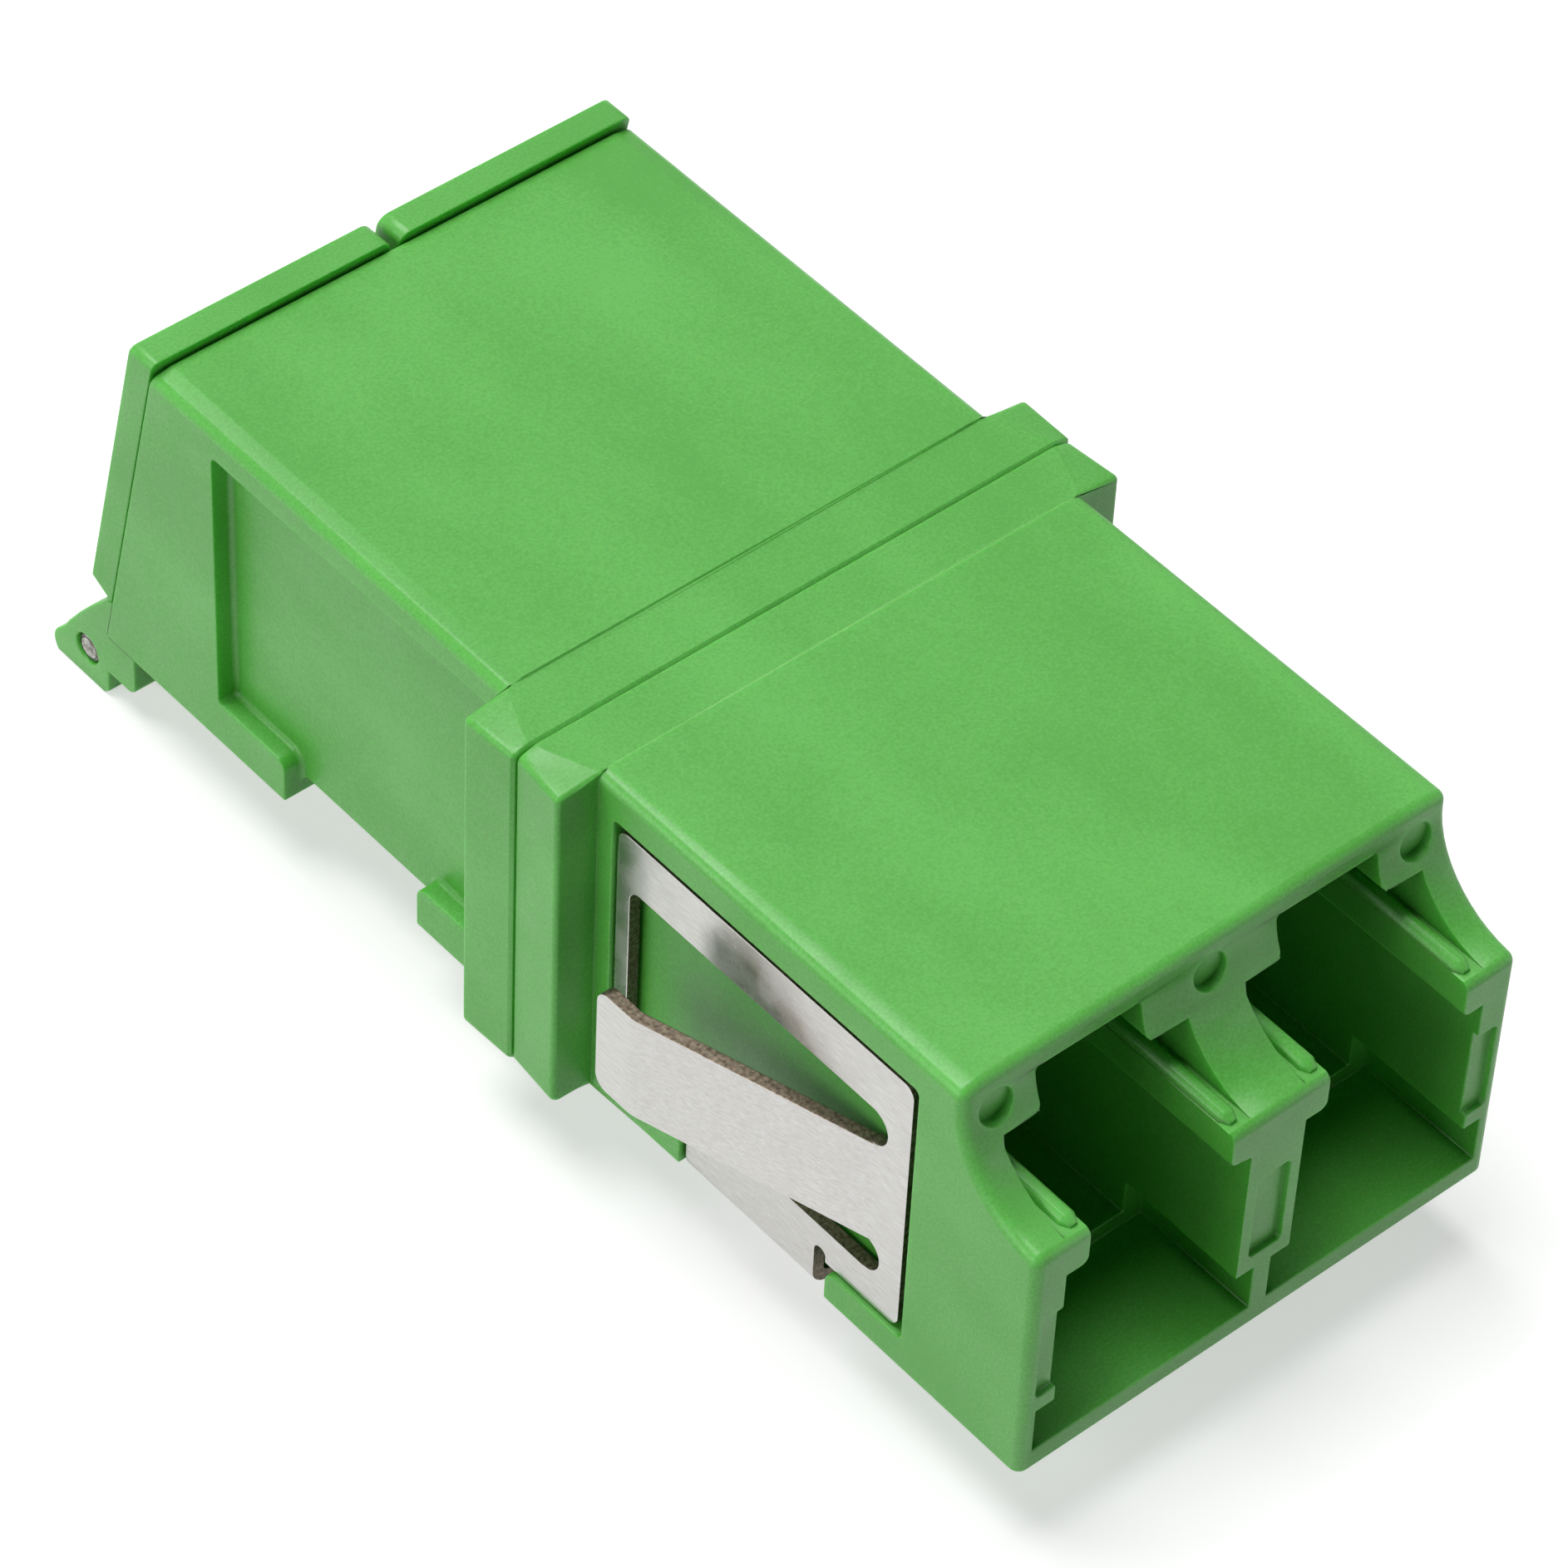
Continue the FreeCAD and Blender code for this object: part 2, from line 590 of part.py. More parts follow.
def clip_plate():
    """Side plate of the clip on the +X side, with its window and the notches beside the web."""
    inner = CLIP_HALF_WIDTH - SHEET
    plate = prism([
        (-CLIP_FRONT, CLIP_BOTTOM, CLIP_CORNER_RADIUS),
        (-CLIP_REAR, CLIP_BOTTOM, CLIP_CORNER_RADIUS),
        (-CLIP_REAR, CLIP_TOP, CLIP_CORNER_RADIUS),
        (-CLIP_FRONT, CLIP_TOP, CLIP_CORNER_RADIUS),
    ], "X", inner, CLIP_HALF_WIDTH)
    upper_end = (WINDOW_TOP - TONGUE_TOP - SLOT_END_FLAT) / 2
    lower_end = (TONGUE_BOTTOM - WINDOW_BOTTOM - SLOT_END_FLAT) / 2
    root = -WINDOW_FRONT + SLOT_DEPTH
    window = prism([
        (-WINDOW_REAR, WINDOW_BOTTOM, CLIP_CORNER_RADIUS),
        (-WINDOW_REAR, WINDOW_TOP, CLIP_CORNER_RADIUS),
        (-WINDOW_FRONT, WINDOW_TOP, upper_end),
        (-WINDOW_FRONT, TONGUE_TOP, upper_end),
        (root, TONGUE_TOP),
        (root, TONGUE_BOTTOM),
        (-WINDOW_FRONT, TONGUE_BOTTOM, lower_end),
        (-WINDOW_FRONT, WINDOW_BOTTOM, lower_end),
    ], "X", inner - OVERRUN, CLIP_HALF_WIDTH + OVERRUN)
    cuts = [window]
    for low_y in (-WEB_START, -WEB_END - NOTCH_WIDTH):
        cuts.append(prism([
            (low_y, CLIP_BOTTOM - OVERRUN),
            (low_y + NOTCH_WIDTH, CLIP_BOTTOM - OVERRUN),
            (low_y + NOTCH_WIDTH, NOTCH_TOP, NOTCH_RADIUS),
            (low_y, NOTCH_TOP, NOTCH_RADIUS),
        ], "X", inner - OVERRUN, CLIP_HALF_WIDTH + OVERRUN))
    return plate.cut(cuts)


def clip_tongue():
    """Tongue of the +X plate, bent outward and straightened at its free end."""
    root = -WINDOW_FRONT - TONGUE_LAP
    bend_start = -TONGUE_BEND_START
    rise = math.tan(TONGUE_ANGLE) * (-TONGUE_BEND - bend_start)
    offset = SHEET * math.tan(TONGUE_ANGLE / 2)
    outer_x = CLIP_HALF_WIDTH
    inner_x = CLIP_HALF_WIDTH - SHEET
    inside = TONGUE_BEND_RADIUS - SHEET
    strip = prism([
        (outer_x, root),
        (outer_x, bend_start, TONGUE_BEND_RADIUS - SHEET),
        (outer_x + rise, -TONGUE_BEND, TONGUE_BEND_RADIUS),
        (outer_x + rise, -TONGUE_END),
        (inner_x + rise, -TONGUE_END),
        (inner_x + rise, -TONGUE_BEND + offset, inside),
        (inner_x, bend_start + offset, TONGUE_BEND_RADIUS),
        (inner_x, root),
    ], "Z", TONGUE_BOTTOM, TONGUE_TOP)
    rounding = prism([
        (root, TONGUE_BOTTOM),
        (-TONGUE_END, TONGUE_BOTTOM, TONGUE_CORNER_RADIUS),
        (-TONGUE_END, TONGUE_TOP, TONGUE_CORNER_RADIUS),
        (root, TONGUE_TOP),
    ], "X", inner_x - OVERRUN, outer_x + rise + OVERRUN)
    return strip.common(rounding)


def clip_web():
    """Lower strip of the clip: down both sides between the lugs and across the underside."""
    wide = CLIP_HALF_WIDTH
    outer = prism([
        (-wide, WEB_BOTTOM, FOLD_RADIUS),
        (wide, WEB_BOTTOM, FOLD_RADIUS),
        (wide, WINDOW_BOTTOM),
        (-wide, WINDOW_BOTTOM),
    ], "Y", -WEB_END, -WEB_START)
    inside = wide - SHEET
    inner = prism([
        (-inside, WEB_BOTTOM + SHEET, FOLD_RADIUS - SHEET),
        (inside, WEB_BOTTOM + SHEET, FOLD_RADIUS - SHEET),
        (inside, WINDOW_BOTTOM + OVERRUN),
        (-inside, WINDOW_BOTTOM + OVERRUN),
    ], "Y", -WEB_END - OVERRUN, -WEB_START + OVERRUN)
    return outer.cut(inner)


def panel_clip():
    """Whole clip, one folded sheet."""
    parts = pair(clip_plate()) + pair(clip_tongue())
    return clip_web().fuse(parts).removeSplitter()


def hinge_pin():
    """Steel pin through both ears and both shutters."""
    pin = rod(PIN_RADIUS, "X", -PIN_HALF_LENGTH, PIN_HALF_LENGTH, PIN_Y, PIN_Z)
    rims = [e for e in pin.Edges if abs(e.CenterOfMass.x) > PIN_HALF_LENGTH - PICK]
    return pin.makeChamfer(PIN_CHAMFER, rims)


def plate_point(up, out):
    """(y, z) of a point near the pin: distance up along the shutter, and out from the pin."""
    y = PIN_Y - up * math.sin(REAR_SLANT) + out * math.cos(REAR_SLANT)
    z = PIN_Z + up * math.cos(REAR_SLANT) + out * math.sin(REAR_SLANT)
    return y, z


def face_offset():
    """Distance from the pin forward to the slanted rear face, square to that face."""
    return (PIN_Y - rear_y(PIN_Z)) * math.cos(REAR_SLANT)


def shutter():
    """Shutter of the +X port: slanted plate with two knuckles on the pin."""
    inner = SHUTTER_GAP - face_offset()
    outer = inner + SHUTTER_THICKNESS
    inner_slope = rear_y(0) + SHUTTER_GAP / math.cos(REAR_SLANT)
    outer_slope = inner_slope + SHUTTER_THICKNESS / math.cos(REAR_SLANT)

    def inner_y(z):
        return inner_slope - z * math.tan(REAR_SLANT)

    def outer_y(z):
        return outer_slope - z * math.tan(REAR_SLANT)

    top = [(outer_y(SHUTTER_TOP), SHUTTER_TOP), (inner_y(SHUTTER_TOP), SHUTTER_TOP)]
    knuckle_x = EAR_INNER_X - SHUTTER_EAR_GAP
    middle = prism(
        [plate_point(0, inner), plate_point(0, outer)] + top, "X", SHUTTER_INNER_X, knuckle_x)
    low = SHUTTER_SIDE_BOTTOM
    slope_top = SHUTTER_SIDE_SLOPE_TOP
    side = prism([
        (inner_y(low), low),
        (EAR_SHOULDER_Y, low),
        (EAR_SHOULDER_Y, low + SHUTTER_SIDE_STEP),
        (outer_y(slope_top), slope_top),
    ] + top, "X", knuckle_x, SHUTTER_OUTER_X)
    rounding = prism([
        (SHUTTER_INNER_X, EAR_BOTTOM),
        (SHUTTER_OUTER_X, EAR_BOTTOM),
        (SHUTTER_OUTER_X, SHUTTER_TOP, SHUTTER_SIDE_RADIUS),
        (SHUTTER_INNER_X, SHUTTER_TOP, SHUTTER_CENTRE_RADIUS),
    ], "Y", rear_y(SHUTTER_TOP) - OVERRUN, PIN_Y + OVERRUN)
    knuckle = rod(KNUCKLE_RADIUS, "X", SHUTTER_INNER_X, knuckle_x, PIN_Y, PIN_Z)
    plate = middle.fuse([side, knuckle]).common(rounding)
    spring_room = rod(SPRING_ROOM_RADIUS, "X", SPRING_ROOM_START, SPRING_ROOM_END, PIN_Y, PIN_Z)
    bore = rod(PIN_RADIUS + PIN_RUNNING_CLEARANCE, "X", 0, SHUTTER_OUTER_X, PIN_Y, PIN_Z)
    leg_x = SPRING_ROOM_END - COIL_INSET
    groove = prism([
        plate_point(LEG_GROOVE_START, outer - LEG_GROOVE_DEPTH),
        plate_point(LEG_GROOVE_START, outer + OVERRUN),
        plate_point(LEG_GROOVE_END, outer + OVERRUN),
        plate_point(LEG_GROOVE_END, outer - LEG_GROOVE_DEPTH),
    ], "X", leg_x - LEG_GROOVE_HALF_WIDTH, leg_x + LEG_GROOVE_HALF_WIDTH)
    return plate.cut([spring_room, bore, groove]).removeSplitter()


def tangent_angle(tip_y, tip_z, turn):
    """Angle round the pin where a straight leg from the coil to the tip leaves the coil."""
    dy = tip_y - PIN_Y
    dz = tip_z - PIN_Z
    reach = math.hypot(dy, dz)
    return math.atan2(dz, dy) + turn * math.acos(COIL_RADIUS / reach)


def wire_section(angle, x, shift=Vec(0, 0, 0)):
    """Outline of the wire where it crosses an angle round the pin, moved along its leg if given."""
    points = []
    for i in range(WIRE_SIDES):
        around = 2 * math.pi * (i + 0.5) / WIRE_SIDES
        radius = COIL_RADIUS + WIRE_RADIUS * math.cos(around)
        points.append(shift + Vec(
            x + WIRE_RADIUS * math.sin(around),
            PIN_Y + radius * math.cos(angle),
            PIN_Z + radius * math.sin(angle)))
    return Part.makePolygon(points + [points[0]])


def leg_shift(angle, tip_y, tip_z):
    """Straight run from the coil's centre line at an angle to the leg's tip."""
    coil_y = PIN_Y + COIL_RADIUS * math.cos(angle)
    coil_z = PIN_Z + COIL_RADIUS * math.sin(angle)
    return Vec(0, tip_y - coil_y, tip_z - coil_z)


def shutter_spring():
    """Torsion spring of the +X shutter: coil round the pin and two straight legs.

    The fixed leg lies under the cross-bar, and the other in the groove on the shutter's back.
    """
    outer = SHUTTER_GAP - face_offset() + SHUTTER_THICKNESS
    tip_out = outer - LEG_GROOVE_DEPTH + WIRE_RADIUS + LEG_CLEARANCE
    tip_y, tip_z = plate_point(LEG_TIP, tip_out)
    fixed_z = -BAR_DROP - WIRE_RADIUS - LEG_CLEARANCE
    start = tangent_angle(FIXED_LEG_Y, fixed_z, 1)
    end = tangent_angle(tip_y, tip_z, -1)
    sweep = 2 * math.pi * (COIL_TURNS - 1) + (end - start) % (2 * math.pi)
    steps = round(STEPS_PER_TURN * sweep / (2 * math.pi))
    x_start = SPRING_ROOM_START + COIL_INSET
    x_end = SPRING_ROOM_END - COIL_INSET
    sections = [wire_section(start, x_start, leg_shift(start, FIXED_LEG_Y, fixed_z))]
    for i in range(steps + 1):
        part = i / steps
        sections.append(wire_section(start + part * sweep, x_start + part * (x_end - x_start)))
    sections.append(wire_section(end, x_end, leg_shift(end, tip_y, tip_z)))
    return Part.makeLoft(sections, True, True)


def export(name, shape):
    """Lower the piece so that the origin lies between the fibre axes, and write it."""
    placed = shape.copy()
    placed.translate(Vec(0, 0, -AXIS_HEIGHT))
    placed.exportStep(os.path.join("parts", name + ".step"))
    box = placed.BoundBox
    print(name, placed.ShapeType, len(placed.Solids), placed.isValid(), round(placed.Volume, 3),
          [round(v, 2) for v in (box.XMin, box.XMax, box.YMin, box.YMax, box.ZMin, box.ZMax)])


def main():
    os.makedirs("parts", exist_ok=True)
    export("front_housing", front_housing())
    export("rear_housing", rear_housing())
    export("panel_clip", panel_clip())
    export("hinge_pin", hinge_pin())
    right_hand = {
        "alignment_sleeve": alignment_sleeve(),
        "shutter": shutter(),
        "shutter_spring": shutter_spring(),
    }
    for name, shape in right_hand.items():
        export(name + "_right", shape)
        export(name + "_left", mirrored_x(shape))


main()
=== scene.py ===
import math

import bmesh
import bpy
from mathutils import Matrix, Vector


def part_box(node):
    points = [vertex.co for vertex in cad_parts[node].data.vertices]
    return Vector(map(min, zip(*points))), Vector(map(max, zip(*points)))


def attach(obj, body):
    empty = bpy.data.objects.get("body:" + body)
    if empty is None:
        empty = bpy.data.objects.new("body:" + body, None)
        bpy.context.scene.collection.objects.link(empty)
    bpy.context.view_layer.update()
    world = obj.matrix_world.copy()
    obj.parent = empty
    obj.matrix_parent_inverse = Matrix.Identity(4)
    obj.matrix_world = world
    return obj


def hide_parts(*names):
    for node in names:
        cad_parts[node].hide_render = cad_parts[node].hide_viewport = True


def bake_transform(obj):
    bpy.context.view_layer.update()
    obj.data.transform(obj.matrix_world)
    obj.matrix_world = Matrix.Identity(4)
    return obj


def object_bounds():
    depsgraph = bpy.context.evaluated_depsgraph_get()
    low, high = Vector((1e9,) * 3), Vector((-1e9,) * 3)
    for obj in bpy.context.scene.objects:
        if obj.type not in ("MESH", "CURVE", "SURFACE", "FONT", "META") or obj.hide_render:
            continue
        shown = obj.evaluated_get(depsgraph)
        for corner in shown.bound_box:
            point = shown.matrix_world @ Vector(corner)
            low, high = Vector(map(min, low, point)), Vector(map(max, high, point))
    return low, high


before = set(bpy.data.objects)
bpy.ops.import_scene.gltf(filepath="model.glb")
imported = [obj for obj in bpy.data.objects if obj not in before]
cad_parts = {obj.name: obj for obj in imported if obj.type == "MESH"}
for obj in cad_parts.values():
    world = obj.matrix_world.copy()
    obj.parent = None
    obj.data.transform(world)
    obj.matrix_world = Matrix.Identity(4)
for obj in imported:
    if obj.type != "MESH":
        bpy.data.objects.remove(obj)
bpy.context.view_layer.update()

# %% [markdown]
# # Duplex fibre optic adapter
# This small block joins two pairs of fibre plugs, end to end, through a panel. It is a green
# housing moulded in two halves, a folded spring steel clip that holds it in the panel, and two
# sprung shutters that close the rear ports. The measured solids are loaded first and stay as
# they are. What is added here is built in the same frame, in metres, so nothing is fitted by eye.

MM = 0.001

for node in sorted(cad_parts):
    low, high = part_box(node)
    print(node, [round(v / MM, 2) for v in (high - low)], "mm")

# %% [markdown]
# ## Edges that catch the light
# No moulded or sheared edge is perfectly sharp: each has a tiny round that shows as a bright
# line. Such rounds could be added to the measured solids, but they would cost the whole part
# its light weight for something only the eye needs. So each solid is copied, its loose
# triangles are merged into real faces, and a Bevel modifier rounds the sharp edges of the copy.

# %% Working on one object at a time


def work_on(piece):
    """Make a piece the only selected object and the active one."""
    if bpy.context.object and bpy.context.object.mode != "OBJECT":
        bpy.ops.object.mode_set(mode="OBJECT")
    bpy.ops.object.select_all(action="DESELECT")
    bpy.context.view_layer.objects.active = piece
    piece.select_set(True)


def pick(piece, kind, test):
    """Select the faces, edges or verts of a piece in edit mode that pass a test; count them."""
    bpy.ops.mesh.select_mode(type={"faces": "FACE", "edges": "EDGE", "verts": "VERT"}[kind])
    bpy.ops.mesh.select_all(action="DESELECT")
    mesh = bmesh.from_edit_mesh(piece.data)
    chosen = [item for item in getattr(mesh, kind) if test(item)]
    for item in chosen:
        item.select_set(True)
    bmesh.update_edit_mesh(piece.data)
    return len(chosen)


# %% Merged copy of a solid
MERGE_MM = 0.0005
FLAT_DEGREES = 0.5


def merged_copy(node, name):
    """Copy of a measured solid whose triangles are joined into whole flat faces."""
    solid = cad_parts[node]
    piece = bpy.data.objects.new(name, solid.data.copy())
    bpy.context.scene.collection.objects.link(piece)
    work_on(piece)
    bpy.ops.object.mode_set(mode="EDIT")
    bpy.ops.mesh.select_all(action="SELECT")
    bpy.ops.mesh.remove_doubles(threshold=MERGE_MM * MM)
    bpy.ops.mesh.dissolve_limited(angle_limit=math.radians(FLAT_DEGREES))
    bpy.ops.object.mode_set(mode="OBJECT")
    piece.data.materials.clear()
    print(name, len(solid.data.polygons), "triangles became", len(piece.data.polygons), "faces")
    return piece


# %% Which edges can be rounded
SHARP_DEGREES = 30
NARROW_DEGREES = 40
ROOM_FACTOR = 2.5
CLOSE_MM = 0.005


def is_sharp(edge):
    """True for an edge between two faces that turn by more than the smoothing angle."""
    return len(edge.link_faces) == 2 and edge.calc_face_angle() > math.radians(SHARP_DEGREES)


def has_room(edge, width):
    """True if both faces are wide enough, and open enough at the edge's ends, to be cut back."""
    for loop in edge.link_loops:
        if loop.face.calc_area() < ROOM_FACTOR * width * edge.calc_length():
            return False
        if min(loop.calc_angle(), loop.link_loop_next.calc_angle()) < math.radians(NARROW_DEGREES):
            return False
    return True


# %% Which creases stay crisp
BODY_SIDE_MM = 6.2
FLAT_TOP = 0.999
CREASE_DEGREES = (5, 20)


def is_facet_line(edge):
    """True for the shallow crease between the body's flat top and the facet beside it."""
    tops = [face for face in edge.link_faces if face.normal.z > FLAT_TOP]
    turn = math.degrees(edge.calc_face_angle(0)) if len(edge.link_faces) == 2 else 0
    on_body = all(abs(v.co.x) < BODY_SIDE_MM * MM for v in edge.verts)
    return on_body and len(tops) == 1 and CREASE_DEGREES[0] < turn < CREASE_DEGREES[1]


# %% Rounding and shading a copy


def ease_edges(piece, width_mm, steps=2, leave=lambda edge: False):
    """Round the sharp edges that have room, keep facet lines crisp, and shade the rest evenly."""
    width = width_mm * MM
    work_on(piece)
    bpy.ops.object.mode_set(mode="EDIT")
    facets = pick(piece, "edges", is_facet_line)
    bpy.ops.mesh.mark_sharp()
    rounded = pick(piece, "edges", lambda edge: (
        is_sharp(edge) and has_room(edge, width) and not leave(edge)))
    bpy.ops.transform.edge_bevelweight(value=1)
    bpy.ops.object.mode_set(mode="OBJECT")
    bevel = piece.modifiers.new("eased", "BEVEL")
    bevel.width = width
    bevel.segments = steps
    bevel.limit_method = "WEIGHT"
    bevel.use_clamp_overlap = False
    bevel.loop_slide = False
    bpy.ops.object.modifier_apply(modifier=bevel.name)
    bpy.ops.object.shade_smooth_by_angle(angle=math.radians(SHARP_DEGREES))
    even = piece.modifiers.new("even", "WEIGHTED_NORMAL")
    even.keep_sharp = True
    bpy.ops.object.modifier_apply(modifier=even.name)
    print(piece.name, "rounded edges:", rounded, "facet lines:", facets,
          "faces:", len(piece.data.polygons))


def stand_in(piece, node, body):
    """Let a finished piece stand for a measured solid and move with its body."""
    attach(piece, body)
    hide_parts(node)


# %% [markdown]
# ## Moulded halves
# The two halves are injection moulded. Where the floor of a side recess meets its walls, the
# mould's cutter left a soft hollow, while the outer edges are almost sharp. The hollow could
# come from a wider Bevel modifier, but that would round the outer edges as much. So only the
# inward edges of the recess floors are selected, by their place, and bevelled by hand first.
# The outer rims of the flange are handled the same way, because hands and panels wear them, and
# so are the three round marks that the ejector pins leave on the front face.
# Merging leaves the rear face, which has two holes, in parts that meet at a slant. A bevel runs
# far along such a thin corner and tears it, so that face is cut once, level, with bisect.

# %% Rounding by hand


def round_by_hand(piece, test, width_mm, steps):
    """Bevel the edges of a piece that pass a test, and count them."""
    work_on(piece)
    bpy.ops.object.mode_set(mode="EDIT")
    count = pick(piece, "edges", test)
    if count:
        bpy.ops.mesh.bevel(
            offset=width_mm * MM, offset_type="OFFSET", segments=steps, affect="EDGES",
            clamp_overlap=False, loop_slide=False)
    bpy.ops.object.mode_set(mode="OBJECT")
    return count


# %% Where the soft edges are
RECESS_FLOOR_MM = {"front_housing": 5.86, "rear_housing": 5.91}
FLANGE_FACE_MM = {"front_housing": -1.45, "rear_housing": 1.49}
FRONT_ZONE_MM = -10
EJECTOR_X_MM = (-5.5, 0.0, 5.5)
EJECTOR_Z_MM = 5.1
EJECTOR_RADIUS_MM = 0.425
EJECTOR_REACH_MM = 0.06


def is_recess_hollow(edge, floor_mm):
    """True for an inward edge that lies in a side recess's floor."""
    in_floor = all(abs(abs(v.co.x) - floor_mm * MM) < CLOSE_MM * MM for v in edge.verts)
    return in_floor and len(edge.link_faces) == 2 and not edge.is_convex


def is_flange_rim(edge, face_mm):
    """True for an outward edge round the flange's outer face."""
    in_face = all(
        abs(v.co.y - face_mm * MM) < CLOSE_MM * MM and abs(v.co.x) > BODY_SIDE_MM * MM
        for v in edge.verts)
    return in_face and is_sharp(edge) and edge.is_convex


def is_ejector_rim(edge):
    """True for an edge on one of the round marks of the front face."""
    for x in EJECTOR_X_MM:
        away = [math.hypot(v.co.x / MM - x, v.co.z / MM - EJECTOR_Z_MM) for v in edge.verts]
        if all(abs(r - EJECTOR_RADIUS_MM) < EJECTOR_REACH_MM for r in away):
            return edge.verts[0].co.y < FRONT_ZONE_MM * MM
    return False


# %% Clean cuts in the rear face
REAR_CUT_MM = -1.5
REAR_LEAN_DEGREES = 12.5
LEAN_SPREAD_DEGREES = 0.6
SIDEWAYS_LIMIT = 0.01


def is_rear_face(face):
    """True for a face in the leaning plane round the rear ports."""
    lean = math.degrees(math.atan2(face.normal.z, face.normal.y))
    if abs(face.normal.x) > SIDEWAYS_LIMIT:
        return False
    return abs(lean - REAR_LEAN_DEGREES) < LEAN_SPREAD_DEGREES


def is_slanting_cut(edge):
    """True for an edge inside the rear face that doesn't lie in the level cut."""
    off_level = any(abs(v.co.z - REAR_CUT_MM * MM) > CLOSE_MM * MM for v in edge.verts)
    return off_level and len(edge.link_faces) == 2 and all(map(is_rear_face, edge.link_faces))


def recut_rear_face(piece):
    """Cut the face round the ports once, level, and join it up where it was cut at a slant."""
    work_on(piece)
    bpy.ops.object.mode_set(mode="EDIT")
    parts = pick(piece, "faces", is_rear_face)
    bpy.ops.mesh.bisect(plane_co=(0, 0, REAR_CUT_MM * MM), plane_no=(0, 0, 1))
    slanting = pick(piece, "edges", is_slanting_cut)
    bpy.ops.mesh.dissolve_edges(use_verts=False)
    left_over = pick(piece, "faces", is_rear_face)
    bpy.ops.object.mode_set(mode="OBJECT")
    print(piece.name, "rear faces", parts, "slanting cuts", slanting, "rear faces now", left_over)


# %% Housing halves
HOLLOW_MM = 0.14
FLANGE_ROUND_MM = 0.12
EJECTOR_ROUND_MM = 0.03
MOULDED_ROUND_MM = 0.045


def moulded_half(node):
    """Merged copy of one half, with hollow recess corners and softly broken edges."""
    piece = merged_copy(node, node + "_moulding")
    if node == "rear_housing":
        recut_rear_face(piece)
    floor_mm, face_mm = RECESS_FLOOR_MM[node], FLANGE_FACE_MM[node]
    hollow = round_by_hand(piece, lambda edge: is_recess_hollow(edge, floor_mm), HOLLOW_MM, 4)
    rims = round_by_hand(piece, lambda edge: is_flange_rim(edge, face_mm), FLANGE_ROUND_MM, 4)
    marks = round_by_hand(
        piece, lambda edge: is_ejector_rim(edge) and is_sharp(edge) and edge.is_convex,
        EJECTOR_ROUND_MM, 3)
    print(node, "hollow edges:", hollow, "flange rims:", rims, "ejector rims:", marks)
    ease_edges(piece, MOULDED_ROUND_MM, leave=is_ejector_rim)
    stand_in(piece, node, "housing")
    return piece


front_half = moulded_half("front_housing")
rear_half = moulded_half("rear_housing")

# %% [markdown]
# ## Shutters
# Each shutter is a plate with two knuckles that turn on the hinge pin. It is moulded in the
# same plastic as the housing, so it is finished in the same way, but it rides on its own body.

# %% Shutter plates
shutters = []
for hand in ("left", "right"):
    piece = merged_copy("shutter_" + hand, "shutter_plate_" + hand)
    ease_edges(piece, MOULDED_ROUND_MM)
    stand_in(piece, "shutter_" + hand, hand + "_shutter")
    shutters.append(piece)

# %% [markdown]
# ## Panel clip
# The clip is stamped from one strip of stainless spring steel and folded. The faces of the
# sheet are rolled and bright. Its sheared edges are rough, and they are given a darker, browner
# steel. Both could be one material that reads the direction of the surface, but two materials
# are plainer: the sheared faces are picked by their direction and get the second one.

# %% Clip with sheared edges
STEEL_ROUND_MM = 0.025
WEB_FACE_Z_MM = -3.0
WEB_FACING = 0.3
LEG_FACING = 0.5


def is_sheared(face):
    """True for a face across the sheet's thickness, not one of the sheet's two sides."""
    normal = face.normal
    in_web = face.calc_center_median().z < WEB_FACE_Z_MM * MM and abs(normal.z) > WEB_FACING
    return abs(normal.x) < LEG_FACING and not in_web


clip = merged_copy("panel_clip", "folded_clip")
clip.data.materials.append(bpy.data.materials.new("rolled_steel"))
clip.data.materials.append(bpy.data.materials.new("sheared_steel"))
bpy.ops.object.mode_set(mode="EDIT")
sheared = pick(clip, "faces", is_sheared)
clip.active_material_index = 1
bpy.ops.object.material_slot_assign()
bpy.ops.object.mode_set(mode="OBJECT")
print("sheared faces:", sheared, "of", len(clip.data.polygons))
ease_edges(clip, STEEL_ROUND_MM)
stand_in(clip, "panel_clip", "housing")

# %% [markdown]
# ## Hinge pin
# The pin is a plain ground rod with rounded ends. A cylinder is added along the hinge, the rims
# of its ends are bevelled, and the end faces are inset a little, so that its visible end
# catches light. The test finds every edge whose points lie at the ends. Those are the rims, and
# also the long edges of the rod, which get fine flutes from the same bevel.

# %% Pin
pin_low, pin_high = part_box("hinge_pin")
PIN_RADIUS_MM = (pin_high.y - pin_low.y) / 2 / MM
PIN_ROUND_MM = 0.12
PIN_INSET_MM = 0.1
PIN_SIDES = 64
END_FACING = 0.99
pin_middle = (pin_low + pin_high) / 2
bpy.ops.object.select_all(action="DESELECT")
bpy.ops.mesh.primitive_cylinder_add(
    vertices=PIN_SIDES, radius=PIN_RADIUS_MM * MM, depth=pin_high.x - pin_low.x,
    location=pin_middle, rotation=(0, math.pi / 2, 0))
pin = bpy.context.object
pin.name = "ground_pin"
work_on(pin)
bpy.ops.object.transform_apply(location=True, rotation=True, scale=True)
bpy.ops.object.mode_set(mode="EDIT")
rims = pick(pin, "edges", lambda edge: all(
    abs(v.co.x) > pin_high.x - CLOSE_MM * MM for v in edge.verts))
bpy.ops.mesh.bevel(offset=PIN_ROUND_MM * MM, offset_type="OFFSET", segments=4, affect="EDGES")
pick(pin, "faces", lambda face: abs(face.normal.x) > END_FACING)
bpy.ops.mesh.inset(thickness=PIN_INSET_MM * MM, depth=0)
bpy.ops.object.mode_set(mode="OBJECT")
